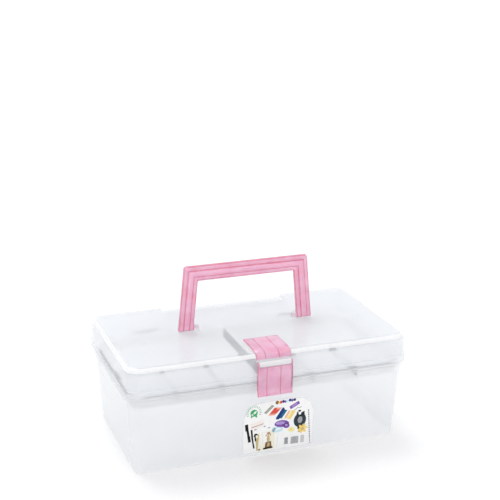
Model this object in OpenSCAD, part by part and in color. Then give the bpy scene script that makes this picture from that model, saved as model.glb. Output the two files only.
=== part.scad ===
// Clear hobby and sewing box: tub, hinged lid, carrying handle, front latch and two lift-out trays.
// Millimetres. X runs along the box, Y runs from the latch to the hinges, Z is up.
// The origin is the middle of the face that the tub stands on.

/* [Box] */
// Length over the rim
box_l = 300; // [220:1:360]
// Depth over the rim
box_d = 164; // [120:1:220]
// Height from the table to the top of the lid
box_h = 115; // [100:1:140]
// Height of the parting line between tub and lid
seam_z = 85.5; // [75:0.5:95]
// Corner radius of the rim, seen from above
corner_r = 16.5; // [12:0.5:24]

/* [Tub] */
// Wall and floor thickness of the tub
tub_wall = 1.8; // [1.4:0.1:2.4]
// How far the rim stands out from the top of the tub wall
rim_out = 3.4; // [3:0.1:5]
// Height of the rim band on the tub
rim_h = 3.5; // [3:0.1:6]
// How much each wall leans in from the rim to the foot
tub_lean = 5.2; // [2:0.1:8]
// Height of the stepped foot
foot_h = 3.5; // [2:0.5:6]
// How far the foot steps in
foot_step = 1; // [0.5:0.1:2]

/* [Lid] */
// Wall and roof thickness of the lid
lid_wall = 1.6; // [1.2:0.1:2]
// Height of the thicker band at the lid's mouth
band_h = 6.5; // [4:0.5:10]
// How far the lid wall steps in above that band
band_out = 1.3; // [1:0.1:1.6]
// How much each lid wall leans in from the band to the shoulder
lid_lean = 0.7; // [0.3:0.1:1.5]
// Radius of the shoulder between lid wall and roof
shoulder_r = 8; // [6:0.5:10]
// Width of the finger recess in the rear shoulder, at its floor
recess_w = 136; // [100:1:150]
// Distance from the rear rim to the recess's front edge
recess_run = 24; // [18:1:30]
// Depth of the finger recess below the roof
recess_drop = 5; // [3:0.5:7]
// Slope of the recess's two ends, as a run in X
recess_slope = 3.5; // [2:0.5:6]

/* [Handle] */
// Width of the handle over its feet
handle_w = 146; // [120:1:160]
// Width of the handle over the grip
grip_w = 133; // [110:1:150]
// Height of the grip's top edge above the lid
handle_h = 69.5; // [55:0.5:80]
// Width of the legs and height of the grip
bar_w = 16; // [12:0.5:20]
// Thickness of the handle at its edges
bar_t = 4.2; // [3.6:0.1:5]
// Width of the raised band along the middle of each bar
band_w = 6.4; // [4:0.2:8]
// How far that band stands out on each face
band_rise = 1.1; // [0.6:0.1:1.4]
// Radius of the handle's outer corners
handle_corner_r = 3; // [2:0.5:6]
// Radius of the two pivot pegs
peg_r = 1.8; // [1.4:0.1:2.2]
// Length of a pivot peg
peg_len = 5; // [4:0.5:6]
// Thickness of a pivot lug on the lid
lug_t = 4.6; // [4:0.2:6]
// Height of the pivot above the lid
pivot_up = 3.6; // [3.6:0.1:4.5]

/* [Latch] */
// Width of the latch
latch_w = 36.6; // [28:0.2:44]
// Thickness of the latch plates
latch_t = 1.7; // [1.4:0.1:2.2]
// Thickness of the latch's side cheeks
cheek_t = 1.6; // [1.2:0.1:2.2]
// Distance from the front rim back to the latch plate's rear edge
plate_run = 40; // [30:1:50]
// Outer radius of the lid's hinge barrel for the latch
barrel_r = 2.65; // [2.4:0.05:3.2]
// Height of the barrel below the lid's roof
barrel_drop = 10; // [9:0.5:12]
// Radius of the latch pin
latch_pin_r = 1; // [0.8:0.1:1.3]
// Height of the latch flap's bottom edge below the rim
pull_drop = 10; // [7:0.5:14]
// How far the barb reaches in under the rim
barb_reach = 2.6; // [1.6:0.1:3]
// Height of the barb
barb_h = 2.6; // [2:0.1:4]
// Radius of the studs that hold the latch plate
stud_r = 1.5; // [1.2:0.1:2]
// Distance between the two studs
stud_pitch = 20; // [14:1:26]
// Position of the left groove down the latch
groove_left_x = -9; // [-14:0.5:-3]
// Position of the right groove down the latch
groove_right_x = 5.5; // [3:0.5:14]
// Width of those grooves
groove_w = 1.1; // [0.6:0.1:2]
// Depth of those grooves
groove_deep = 0.5; // [0.3:0.1:0.8]

/* [Hinges] */
// Distance of each hinge from the middle
hinge_x = 85; // [60:1:110]
// Outer radius of the knuckles
knuckle_r = 3.4; // [3:0.1:4]
// Length of the lid's knuckle
lid_knuckle_l = 13; // [8:0.5:20]
// Length of each knuckle on the tub
tub_knuckle_l = 7; // [5:0.5:12]
// Radius of the hinge pins
hinge_pin_r = 1.5; // [1.2:0.1:2]

/* [Trays] */
// Height of a tray over all
tray_h = 15; // [12:0.5:22]
// Height of a tray's edge above its rib
tray_lip = 0.35; // [0.3:0.05:10]
// Wall and floor thickness of the trays
tray_wall = 1.3; // [1:0.1:1.8]
// Gap between a tray's wall and the tub's wall at the ledge
tray_gap = 2.2; // [1.4:0.1:3]
// Thickness of the rib that rests on the tub's ledge
tray_rib_t = 1.2; // [0.9:0.1:1.3]
// Corner radius of the trays
tray_corner_r = 12; // [8:0.5:16]
// Number of small compartments in a tray's front row
tray_cells = 3; // [2:1:4]
// Depth of a tray's front row of compartments
tray_row = 72; // [40:1:90]

/* [Label] */
// Width of the paper label
label_w = 75; // [50:1:100]
// Height of the label at its middle
label_h = 56.5; // [25:0.5:60]
// How far the label's top edge rises from its ends to its middle
label_rise = 3; // [2:1:15]
// Radius of the label's two top corners
label_corner_r = 20; // [5:1:24]
// Distance of the label's middle from the middle of the box
label_x = 8.5; // [-30:0.5:30]
// Height of the label's lower edge above the foot
label_up = 1; // [0.5:0.5:10]
// Thickness of the label
label_t = 0.2; // [0.1:0.05:0.4]

/* [Fits] */
// Gap between lid and tub at the parting line
seam_gap = 0.3; // [0.2:0.1:0.5]
// Radial running clearance of every pin in its bore
pin_play = 0.05; // [0.02:0.01:0.1]
// Side gap between pieces that turn past each other
side_gap = 0.4; // [0.3:0.1:0.6]
// Gap under a piece that is seated on another
seat_gap = 0.1; // [0.05:0.05:0.2]

/* [Hidden] */
$fn = 48;

clear = [0.86, 0.90, 0.95, 0.45];
pink = [0.97, 0.62, 0.74, 0.8];
steel = [0.75, 0.76, 0.78];

// Thickness of the flat sheets that a leaning block is stretched between
sliver = 0.01;
groove_x = [groove_left_x, groove_right_x];

// Heights, from the table up
rim_top = seam_z - seam_gap / 2;
rim_z = rim_top - rim_h;
ledge_z = rim_z + tub_wall;
lid_z = seam_z + seam_gap / 2;
pivot_z = box_h + pivot_up;
shoulder_z = box_h - shoulder_r;

// Sizes at the top of the tub wall and at the foot
top_l = box_l - 2 * rim_out;
top_d = box_d - 2 * rim_out;
foot_l = top_l - 2 * tub_lean;
foot_d = top_d - 2 * tub_lean;
foot_r = corner_r - rim_out - tub_lean;
top_r = corner_r - rim_out;
inside_l = top_l - 2 * tub_wall;
inside_d = top_d - 2 * tub_wall;

// Sizes of the lid above its band
lid_l = box_l - 2 * band_out;
lid_d = box_d - 2 * band_out;
roof_l = lid_l - 2 * lid_lean;
roof_d = lid_d - 2 * lid_lean;

// Rear hinge axis
hinge_y = box_d / 2 + knuckle_r + seam_gap;
hinge_l = lid_knuckle_l + 2 * (tub_knuckle_l + side_gap);

// Latch axis, just in front of the lid wall
barrel_y = -(roof_d / 2 + barrel_r + seam_gap);
barrel_z = box_h - barrel_drop;
barrel_l = latch_w - 2 * (cheek_t + side_gap / 2);
flap_face = barrel_y - barrel_r;
flap_inner = flap_face + latch_t;
flap_back = -(box_d / 2 + side_gap);
flap_top = barrel_z - barrel_r - side_gap;
flap_z = rim_z - pull_drop;
// The pull flares out at the bottom of the flap
flare_h = 4;
flare_out = 1.4;
// Heads staked on the studs under the lid's roof
head_t = 0.9;
head_r = stud_r + 0.9;
stud_y = -(box_d / 2 - plate_run) - 8;

// Handle pegs reach in from the feet to the lid's lugs, which stay clear of the leaning legs
leg_lean = (handle_w - grip_w) / 2 / (box_h + handle_h - pivot_z);
foot_in_x = handle_w / 2 - bar_w;
lug_r = pivot_up - seat_gap;
lug_out_x = foot_in_x - max(side_gap * 2, leg_lean * lug_r + side_gap);
handle_t = bar_t + 2 * band_rise;

// Trays
tray_rib_z = ledge_z + seat_gap;
tray_z = tray_rib_z + tray_rib_t + tray_lip - tray_h;
tray_l = inside_l / 2 - tray_gap - side_gap / 2;
tray_d = inside_d - 2 * tray_gap;
tray_rib = tray_gap + 1.4;

module rounded_rect(l, d, r) {
    square([l - 2 * r, d], center = true);
    square([l, d - 2 * r], center = true);
    for (sx = [-1, 1], sy = [-1, 1])
        translate([sx * (l / 2 - r), sy * (d / 2 - r)]) circle(r);
}

module slab(l, d, r, z, h) {
    translate([0, 0, z]) linear_extrude(h) rounded_rect(l, d, r);
}

// A block that leans out evenly from the foot's outline to the wall top's, both inset by a wall
module leaning_block(inset, z0, z1) {
    hull() {
        slab(foot_l - 2 * inset, foot_d - 2 * inset, foot_r - inset, z0, sliver);
        slab(top_l - 2 * inset, top_d - 2 * inset, top_r - inset, z1 - sliver, sliver);
    }
}

// A cylinder along X, centred on x
module rod_x(r, l, x, y, z) {
    translate([x - l / 2, y, z]) rotate([0, 90, 0]) cylinder(r = r, h = l);
}

module box_between(x0, x1, y0, y1, z0, z1) {
    translate([x0, y0, z0]) cube([x1 - x0, y1 - y0, z1 - z0]);
}

// Tub: leaning walls on a stepped foot, and a rim that steps out to form a ledge inside
module tub() {
    color(clear) difference() {
        union() {
            slab(foot_l - 2 * foot_step, foot_d - 2 * foot_step, foot_r - foot_step, 0, foot_h + 0.5);
            leaning_block(0, foot_h, ledge_z);
            slab(box_l, box_d, corner_r, rim_z, rim_h);
            for (hx = [-hinge_x, hinge_x], side = [-1, 1])
                tub_knuckle(hx + side * (lid_knuckle_l + tub_knuckle_l + 2 * side_gap) / 2);
        }
        leaning_block(tub_wall, foot_h, ledge_z + sliver);
        slab(foot_l - 2 * tub_wall - foot_step, foot_d - 2 * tub_wall - foot_step, foot_r - tub_wall,
             tub_wall, foot_h);
        slab(box_l - 2 * tub_wall, box_d - 2 * tub_wall, corner_r - tub_wall, ledge_z, rim_h);
        for (hx = [-hinge_x, hinge_x])
            rod_x(hinge_pin_r + pin_play, hinge_l + 2, hx, hinge_y, seam_z);
    }
}

module tub_knuckle(x) {
    half = tub_knuckle_l / 2;
    rod_x(knuckle_r, tub_knuckle_l, x, hinge_y, seam_z);
    box_between(x - half, x + half, box_d / 2 - tub_wall / 2, hinge_y, seam_z - knuckle_r,
                rim_top - seam_gap);
}

// The lid's outer form, or its hollow when inset by the wall
module lid_form(inset, z0, z1) {
    r = corner_r - band_out - inset;
    rs = shoulder_r - inset;
    hull() {
        slab(lid_l - 2 * inset, lid_d - 2 * inset, r, z0, 1);
        for (sx = [-1, 1], sy = [-1, 1])
            translate([sx * (roof_l / 2 - inset - r), sy * (roof_d / 2 - inset - r), z1 - rs])
                rotate_extrude($fn = 32) intersection() {
                    translate([r - rs, 0]) circle(rs, $fn = 32);
                    translate([0, -rs]) square([r + 1, 2 * rs]);
                }
    }
}

// Finger recess in the rear shoulder, grown by the wall for the underside
module finger_recess(grow) {
    front_y = box_d / 2 - recess_run - grow;
    floor_z = box_h - recess_drop - grow;
    low = recess_w / 2 + grow;
    high = low + recess_slope * (recess_drop + 10) / recess_drop;
    translate([0, box_d, 0]) rotate([90, 0, 0]) linear_extrude(box_d - front_y)
        polygon([[-low, floor_z], [low, floor_z], [high, box_h + 10], [-high, box_h + 10]]);
}

// Lid: band at the mouth, rounded shoulder, finger recess, lugs, latch barrel and knuckles
module lid() {
    color(clear) difference() {
        union() {
            difference() {
                union() {
                    lid_form(0, lid_z, box_h);
                    slab(box_l, box_d, corner_r, lid_z, band_h);
                }
                finger_recess(0);
            }
            for (side = [-1, 1]) handle_lug(side);
            rod_x(barrel_r, barrel_l, 0, barrel_y, barrel_z);
            box_between(-barrel_l / 2, barrel_l / 2, barrel_y, -roof_d / 2 + 1,
                        barrel_z - barrel_r / 2, barrel_z + barrel_r / 2);
            for (hx = [-hinge_x, hinge_x]) lid_knuckle(hx);
        }
        difference() {
            lid_form(lid_wall, lid_z - 0.5, box_h - lid_wall);
            finger_recess(lid_wall);
        }
        for (hx = [-hinge_x, hinge_x])
            rod_x(hinge_pin_r + pin_play, hinge_l, hx, hinge_y, seam_z);
        rod_x(latch_pin_r + pin_play, barrel_l + 2, 0, barrel_y, barrel_z);
        for (side = [-1, 1]) {
            rod_x(peg_r + pin_play, lug_t + 2, side * (lug_out_x - lug_t / 2), 0, pivot_z);
            translate([side * stud_pitch / 2, stud_y, box_h - 5]) cylinder(r = stud_r + seat_gap, h = 10);
        }
    }
}

module lid_knuckle(x) {
    half = lid_knuckle_l / 2;
    rod_x(knuckle_r, lid_knuckle_l, x, hinge_y, seam_z);
    box_between(x - half, x + half, box_d / 2 - band_out - lid_wall / 2, hinge_y,
                lid_z + seam_gap / 2, seam_z + knuckle_r);
}

// Lug with a round top that carries a handle peg
module handle_lug(side) {
    x = side * (lug_out_x - lug_t / 2);
    rod_x(lug_r, lug_t, x, 0, pivot_z);
    box_between(x - lug_t / 2, x + lug_t / 2, -lug_r, lug_r, box_h - lid_wall / 2, pivot_z);
}

module hinge_pin_left() {
    color(steel) rod_x(hinge_pin_r, hinge_l, -hinge_x, hinge_y, seam_z);
}

module hinge_pin_right() {
    color(steel) rod_x(hinge_pin_r, hinge_l, hinge_x, hinge_y, seam_z);
}

// Outline of the handle in its own plane: legs that lean in to the grip, with round top corners
module handle_outline(inset, corner) {
    top = box_h + handle_h - inset;
    out_low = handle_w / 2 - inset;
    out_high = out_low - leg_lean * (top - corner - pivot_z);
    in_low = foot_in_x + inset;
    in_top = box_h + handle_h - bar_w + inset;
    in_high = in_low - leg_lean * (in_top - pivot_z);
    difference() {
        union() {
            polygon([[-out_low, pivot_z], [out_low, pivot_z], [out_high, top - corner],
                     [-out_high, top - corner]]);
            translate([corner - out_high, in_top]) square([2 * (out_high - corner), top - in_top]);
            for (side = [-1, 1])
                translate([side * (out_high - corner), top - corner]) circle(corner);
        }
        polygon([[-in_low, pivot_z - 1], [in_low, pivot_z - 1], [in_low, pivot_z], [in_high, in_top],
                 [-in_high, in_top], [-in_low, pivot_z]]);
    }
}

module handle_plate(inset, t, corner) {
    translate([0, t / 2, 0]) rotate([90, 0, 0]) linear_extrude(t) handle_outline(inset, corner);
}

// Handle: a flat bar with a raised band on both faces, round feet and two inward pegs
module handle() {
    inset = (bar_w - band_w) / 2;
    color(pink) {
        handle_plate(0, bar_t, handle_corner_r);
        handle_plate(inset, handle_t, handle_corner_r / 2);
        for (side = [-1, 1]) {
            rod_x(handle_t / 2, bar_w, side * (handle_w - bar_w) / 2, 0, pivot_z);
            rod_x(peg_r, peg_len + 1, side * (foot_in_x - peg_len / 2 + 0.5), 0, pivot_z);
        }
    }
}

// The latch plate's side profile: flat on the roof, then over the shoulder
module plate_profile(grow) {
    bend = roof_d / 2 - shoulder_r;
    back = box_d / 2 - plate_run;
    low = barrel_z + barrel_r + 4 * side_gap;
    intersection() {
        union() {
            translate([back, shoulder_z]) square([bend - back, shoulder_r + grow]);
            translate([bend, shoulder_z]) circle(shoulder_r + grow);
        }
        translate([back, low]) square([box_d, box_h]);
    }
}

// Extrude a side view, drawn with the distance forward as X and the height as Y, along X
module side_view(l) {
    rotate([90, 0, -90]) translate([0, 0, -l / 2]) linear_extrude(l) children();
}

// Fixed half of the latch: a curved plate held to the lid by two staked studs
module latch_plate() {
    head_z = box_h - lid_wall - seat_gap - head_t;
    face_z = box_h + seat_gap + latch_t;
    color(pink) {
        difference() {
            side_view(latch_w) difference() {
                plate_profile(seat_gap + latch_t);
                plate_profile(seat_gap);
            }
            for (gx = groove_x)
                box_between(gx - groove_w / 2, gx + groove_w / 2, -box_d, 0, face_z - groove_deep, box_h + 10);
        }
        for (side = [-1, 1]) translate([side * stud_pitch / 2, stud_y, head_z]) {
            cylinder(r = stud_r, h = box_h + seat_gap + latch_t / 2 - head_z);
            cylinder(r = head_r, h = head_t);
        }
    }
}

// Side view of the flap's cheeks: round at the pin, then down to the pull
module cheek_profile() {
    translate([-barrel_y, barrel_z]) circle(barrel_r);
    polygon([[-flap_back, barrel_z], [-flap_face, barrel_z], [-flap_face, flap_z + flare_h],
             [-flap_inner, flap_z + flare_h], [-flap_back, rim_z]]);
}

// Swinging half of the latch: channel with two cheeks, a barb under the rim and a pull at the bottom
module latch_flap() {
    barb_z = rim_z - seat_gap * 5;
    tip = -(box_d / 2 - barb_reach);
    color(pink) difference() {
        union() {
            box_between(-latch_w / 2, latch_w / 2, flap_face, flap_inner, flap_z + flare_h, flap_top);
            side_view(latch_w) {
                polygon([[-flap_inner, flap_z + flare_h], [-flap_face, flap_z + flare_h],
                         [-flap_face + flare_out, flap_z], [-flap_inner + flare_out, flap_z]]);
                polygon([[-flap_inner, barb_z], [-tip, barb_z], [-tip, barb_z - barb_h / 3],
                         [-flap_inner, barb_z - barb_h]]);
            }
            for (side = [-1, 1]) translate([side * (latch_w - cheek_t) / 2, 0, 0])
                side_view(cheek_t) cheek_profile();
        }
        rod_x(latch_pin_r + pin_play, latch_w + 2, 0, barrel_y, barrel_z);
        for (gx = groove_x)
            box_between(gx - groove_w / 2, gx + groove_w / 2, flap_face - 1, flap_face + groove_deep,
                        flap_z + flare_h, flap_top + 1);
    }
}

module latch_pin() {
    color(steel) rod_x(latch_pin_r, latch_w, 0, barrel_y, barrel_z);
}

// One lift-out tray: open box with a rib that rests on the tub's ledge on its three outer sides
module tray(side) {
    x0 = side_gap / 2;
    x1 = x0 + tray_l;
    row_y = -tray_d / 2 + tray_row;
    divider_h = tray_h - 3;
    mirror([side < 0 ? 1 : 0, 0, 0]) color(clear) {
        difference() {
            union() {
                tray_block(x0, x1, tray_d, 0, tray_z, tray_h);
                tray_rib_plate(x0 + 2, x1 - tray_corner_r, tray_d / 2 + tray_rib);
                tray_rib_plate(x0 + 2, x1 + tray_rib, tray_d / 2 - tray_corner_r);
            }
            tray_block(x0 + tray_wall, x1 - tray_wall, tray_d - 2 * tray_wall, tray_wall,
                       tray_z + tray_wall, tray_h);
        }
        box_between(x0 + tray_wall / 2, x1 - tray_wall / 2, row_y, row_y + tray_wall,
                    tray_z + tray_wall / 2, tray_z + divider_h);
        for (i = [1 : tray_cells - 1]) {
            x = x0 + tray_l * i / tray_cells;
            box_between(x - tray_wall / 2, x + tray_wall / 2, (tray_wall - tray_d) / 2,
                        row_y + tray_wall / 2, tray_z + tray_wall / 2, tray_z + divider_h);
        }
    }
}

// A rib's plate, from x0 to x1 and as far in front as behind; the rib stops short of the corners
module tray_rib_plate(x0, x1, half) {
    box_between(x0, x1, -half, half, tray_rib_z, tray_rib_z + tray_rib_t);
}

// Block with two round corners at its outer end and two small ones at the middle of the box
module tray_block(x0, x1, d, inset, z, h) {
    r = tray_corner_r - inset;
    small = 2;
    translate([0, 0, z]) linear_extrude(h) {
        translate([x0, -d / 2 + small]) square([x1 - x0 - r, d - 2 * small]);
        translate([x0 + small, -d / 2]) square([x1 - x0 - r - small, d]);
        translate([x0 + small, -d / 2 + r]) square([x1 - x0 - small, d - 2 * r]);
        for (sy = [-1, 1]) {
            translate([x0 + small, sy * (d / 2 - small)]) circle(small);
            translate([x1 - r, sy * (d / 2 - r)]) circle(r);
        }
    }
}

module tray_left() { tray(-1); }

module tray_right() { tray(1); }

// Outline of the label: small corners below, large ones above, and an arched top edge
module label_outline() {
    arch_r = (pow(label_w / 2, 2) + pow(label_rise, 2)) / (2 * label_rise);
    intersection() {
        union() {
            translate([0, label_h / 2]) rounded_rect(label_w, label_h, label_corner_r);
            translate([0, label_h / 4]) rounded_rect(label_w, label_h / 2, 3);
        }
        translate([0, label_h - arch_r]) circle(arch_r, $fn = 180);
    }
}

// Printed label that lies on the leaning front wall
module front_label() {
    lean_angle = atan(tub_lean / (ledge_z - foot_h));
    color("white")
        translate([label_x, -(foot_d / 2 + seat_gap), foot_h]) rotate([90 + lean_angle, 0, 0])
            translate([0, label_up, 0]) linear_extrude(label_t) label_outline();
}

tub();
lid();
hinge_pin_left();
hinge_pin_right();
handle();
latch_plate();
latch_flap();
latch_pin();
tray_left();
tray_right();
front_label();
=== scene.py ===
import math

import bmesh
import bpy
from mathutils import Matrix, Vector


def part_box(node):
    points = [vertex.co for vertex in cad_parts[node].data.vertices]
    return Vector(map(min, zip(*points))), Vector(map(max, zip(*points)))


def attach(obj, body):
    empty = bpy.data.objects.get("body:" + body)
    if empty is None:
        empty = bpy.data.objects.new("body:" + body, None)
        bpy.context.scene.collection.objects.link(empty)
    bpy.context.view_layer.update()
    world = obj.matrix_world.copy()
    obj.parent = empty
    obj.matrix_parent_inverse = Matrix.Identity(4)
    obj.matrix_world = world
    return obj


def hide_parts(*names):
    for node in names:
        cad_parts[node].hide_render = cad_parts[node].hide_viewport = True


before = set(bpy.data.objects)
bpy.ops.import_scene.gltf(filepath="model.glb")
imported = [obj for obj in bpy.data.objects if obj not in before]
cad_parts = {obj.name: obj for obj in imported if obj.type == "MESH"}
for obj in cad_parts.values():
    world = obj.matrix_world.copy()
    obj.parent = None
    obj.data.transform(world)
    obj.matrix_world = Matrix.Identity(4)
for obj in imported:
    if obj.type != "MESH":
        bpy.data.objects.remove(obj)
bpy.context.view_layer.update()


# ---------------------------------------------------------------------------
# Tub: one injection-moulded shell of natural polypropylene, hazy and glossy,
# with walls that lean out to a stepped rim. The rim's step is the ledge for the
# trays, and four hinge knuckles stand behind it.
# ---------------------------------------------------------------------------

MM = 0.001
tub_low, tub_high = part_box("tub")
tray_low, tray_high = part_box("tray_right")
pin_low, pin_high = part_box("hinge_pin_right")
latch_pin_low, latch_pin_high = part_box("latch_pin")
handle_low, handle_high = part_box("handle")

half_l = tub_high.x
half_d = -tub_low.y
hinge_y = (pin_low.y + pin_high.y) / 2
hinge_z = (pin_low.z + pin_high.z) / 2
hinge_x = (pin_low.x + pin_high.x) / 2
hinge_pin_r = (pin_high.z - pin_low.z) / 2
seam_gap = 0.3 * MM
pivot_z = handle_low.z + 3.2 * MM
rim_top = hinge_z - seam_gap / 2
rim_low = rim_top - 3.5 * MM
rim_corner = 16.5 * MM
rim_out = 3.4 * MM
tub_lean = 5.2 * MM
tub_wall = 1.8 * MM
foot_h = 3.5 * MM
foot_step = 1.0 * MM
ledge_z = rim_low + tub_wall
knuckle_r = 3.4 * MM
lid_knuckle_l = 13.0 * MM
tub_knuckle_l = 7.0 * MM
side_gap = 0.4 * MM

CORNER_STEPS = 14
SHORT_STEPS = 40


def long_side_places():
    """X places along a long side, closer together where the lid's recess ends."""
    places = [i * 4 * MM for i in range(0, 17)]
    places += [(66 + 0.5 * i) * MM for i in range(0, 17)]
    places += [(76 + 4 * i) * MM for i in range(0, 7)]
    return [-x for x in reversed(places[1:])] + places


LONG_PLACES = long_side_places()


def rim_loop(inset, z, r):
    """Points of a rounded rectangle, inset from the rim's outline, in one fixed order."""
    a = half_l - inset
    b = half_d - inset
    flat_x = a - r
    flat_y = b - r
    reach = LONG_PLACES[-1]
    tail = [reach + (flat_x - reach) * t / 6 for t in range(1, 6)]
    xs = [-x for x in reversed(tail)] + LONG_PLACES + tail
    ys = [flat_y * (2 * t / SHORT_STEPS - 1) for t in range(1, SHORT_STEPS)]
    points = []
    centres = [(flat_x, flat_y), (-flat_x, flat_y), (-flat_x, -flat_y), (flat_x, -flat_y)]
    for turn, (cx, cy) in enumerate(centres):
        for k in range(CORNER_STEPS + 1):
            angle = math.radians(90 * (turn + k / CORNER_STEPS))
            points.append(Vector((cx + r * math.cos(angle), cy + r * math.sin(angle), z)))
        if turn == 0:
            points += [Vector((x, b, z)) for x in reversed(xs)]
        elif turn == 1:
            points += [Vector((-a, y, z)) for y in reversed(ys)]
        elif turn == 2:
            points += [Vector((x, -b, z)) for x in xs]
        else:
            points += [Vector((a, y, z)) for y in ys]
    return points


def rounded_path(corners, steps=5):
    """Rounds a path of (inset, z, corner radius, fillet) and gives (inset, z, corner radius) points."""
    path = []
    for i, (u, z, r, fillet) in enumerate(corners):
        here = Vector((u, z))
        if i in (0, len(corners) - 1) or fillet == 0:
            path.append((u, z, r))
            continue
        before = Vector(corners[i - 1][:2]) - here
        after = Vector(corners[i + 1][:2]) - here
        half_angle = before.angle(after) / 2
        reach = fillet / math.tan(half_angle)
        start = here + before.normalized() * reach
        end = here + after.normalized() * reach
        inward = (before.normalized() + after.normalized()).normalized()
        middle = here + inward * fillet / math.sin(half_angle)
        first = start - middle
        sweep = math.pi - 2 * half_angle
        sign = 1 if first.x * (end - middle).y - first.y * (end - middle).x > 0 else -1
        for k in range(steps + 1):
            turned = Matrix.Rotation(sign * sweep * k / steps, 2) @ first
            place = middle + turned
            path.append((place.x, place.y, r + (u - place.x)))
    return path


def loft(name, loops, close_ends=True):
    """A mesh through loops of equal length, closed by a face at each end."""
    mesh = bmesh.new()
    rows = [[mesh.verts.new(p) for p in loop] for loop in loops]
    count = len(rows[0])
    for lower, upper in zip(rows, rows[1:]):
        for k in range(count):
            n = (k + 1) % count
            mesh.faces.new((lower[k], lower[n], upper[n], upper[k]))
    if close_ends:
        mesh.faces.new(list(reversed(rows[0])))
        mesh.faces.new(rows[-1])
    return finish_mesh(name, mesh)


def finish_mesh(name, mesh, smooth_angle=38):
    """Turns a bmesh into an object in the scene, with outward faces and smooth shading."""
    bmesh.ops.remove_doubles(mesh, verts=mesh.verts, dist=1e-7)
    bmesh.ops.recalc_face_normals(mesh, faces=mesh.faces)
    data = bpy.data.meshes.new(name)
    mesh.to_mesh(data)
    mesh.free()
    piece = bpy.data.objects.new(name, data)
    bpy.context.scene.collection.objects.link(piece)
    shade(piece, smooth_angle)
    return piece


def shade(piece, smooth_angle=38):
    piece.data.shade_smooth()
    bpy.context.view_layer.objects.active = piece
    for other in bpy.context.selected_objects:
        other.select_set(False)
    piece.select_set(True)
    bpy.ops.object.shade_smooth_by_angle(angle=math.radians(smooth_angle))
    piece.select_set(False)


def apply_modifiers(piece):
    """Replaces a piece's mesh by what its modifiers make of it."""
    graph = bpy.context.evaluated_depsgraph_get()
    made = bpy.data.meshes.new_from_object(piece.evaluated_get(graph))
    piece.modifiers.clear()
    piece.data = made


def combine(piece, other, operation):
    """Joins another closed piece to this one, or cuts it away, and removes the other."""
    step = piece.modifiers.new(operation.lower(), "BOOLEAN")
    step.operation = operation
    step.object = other
    step.solver = "EXACT"
    apply_modifiers(piece)
    bpy.data.objects.remove(other)


def soften(piece, width, segments=2, angle=40):
    """Rounds every edge sharper than the angle."""
    step = piece.modifiers.new("soft_edges", "BEVEL")
    step.width = width
    step.segments = segments
    step.limit_method = "ANGLE"
    step.angle_limit = math.radians(angle)
    step.use_clamp_overlap = True
    step.miter_outer = "MITER_ARC"
    apply_modifiers(piece)


def prism_x(name, outline, x0, x1):
    """A prism along X from a side view given as (y, z) points."""
    mesh = bmesh.new()
    ends = [[mesh.verts.new((x, y, z)) for y, z in outline] for x in (x0, x1)]
    mesh.faces.new(ends[0])
    mesh.faces.new(list(reversed(ends[1])))
    for k in range(len(outline)):
        n = (k + 1) % len(outline)
        mesh.faces.new((ends[0][k], ends[1][k], ends[1][n], ends[0][n]))
    return finish_mesh(name, mesh)


def circle_yz(y, z, r, steps=40, start=0.0, turn=360.0):
    """Points of a circle or an arc in a side view."""
    count = steps if turn == 360.0 else steps + 1
    angles = [math.radians(start + turn * k / steps) for k in range(count)]
    return [(y + r * math.cos(a), z + r * math.sin(a)) for a in angles]


def rod_x(name, r, x0, x1, y, z):
    return prism_x(name, circle_yz(y, z, r), x0, x1)


wall_top = rim_out + tub_lean * (ledge_z - rim_low) / (ledge_z - foot_h)
tub_path = rounded_path([
    (13.0 * MM, 0, 4.0 * MM, 0),
    (rim_out + tub_lean + foot_step, 0, 6.9 * MM, 0.8 * MM),
    (rim_out + tub_lean + foot_step, foot_h, 6.9 * MM, 0.35 * MM),
    (rim_out + tub_lean, foot_h, 7.9 * MM, 0.45 * MM),
    (wall_top, rim_low, 13.0 * MM, 0.6 * MM),
    (0, rim_low, rim_corner, 0.6 * MM),
    (0, rim_top, rim_corner, 0.5 * MM),
    (tub_wall, rim_top, rim_corner - tub_wall, 0.4 * MM),
    (tub_wall, ledge_z, rim_corner - tub_wall, 0.35 * MM),
    (rim_out + tub_wall, ledge_z, 11.3 * MM, 0.5 * MM),
    (rim_out + tub_lean + tub_wall, tub_wall, 6.1 * MM, 2.2 * MM),
    (15.0 * MM, tub_wall, 3.0 * MM, 0),
])
tub = loft("tub_shell", [rim_loop(u, z, max(r, 0.5 * MM)) for u, z, r in tub_path])


def knuckle(name, x, length, top, bottom, root_y):
    """A hinge knuckle: a round barrel behind the rim with a neck that joins it to the wall."""
    neck = [(root_y, bottom), (hinge_y, bottom), (hinge_y, top), (root_y, top)]
    barrel = rod_x(name, knuckle_r, x - length / 2, x + length / 2, hinge_y, hinge_z)
    block = prism_x(name + "_neck", neck, x - length / 2, x + length / 2)
    combine(barrel, block, "UNION")
    soften(barrel, 0.3 * MM)
    return barrel


def bore(piece, r, x0, x1, y, z):
    combine(piece, rod_x("bore", r, x0, x1, y, z), "DIFFERENCE")


for hx in (-hinge_x, hinge_x):
    for side in (-1, 1):
        place = hx + side * (lid_knuckle_l + tub_knuckle_l + 2 * side_gap) / 2
        arm = knuckle("tub_knuckle", place, tub_knuckle_l, rim_top - 0.3 * MM, hinge_z - knuckle_r,
                      half_d - 0.9 * MM)
        combine(tub, arm, "UNION")
    bore(tub, hinge_pin_r + 0.05 * MM, hx - 20 * MM, hx + 20 * MM, hinge_y, hinge_z)
shade(tub)


def new_material(name):
    """An empty node material: the material, its tree and its output."""
    material = bpy.data.materials.new(name)
    material.use_nodes = True
    tree = material.node_tree
    tree.nodes.clear()
    output = tree.nodes.new("ShaderNodeOutputMaterial")
    return material, tree, output


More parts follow.
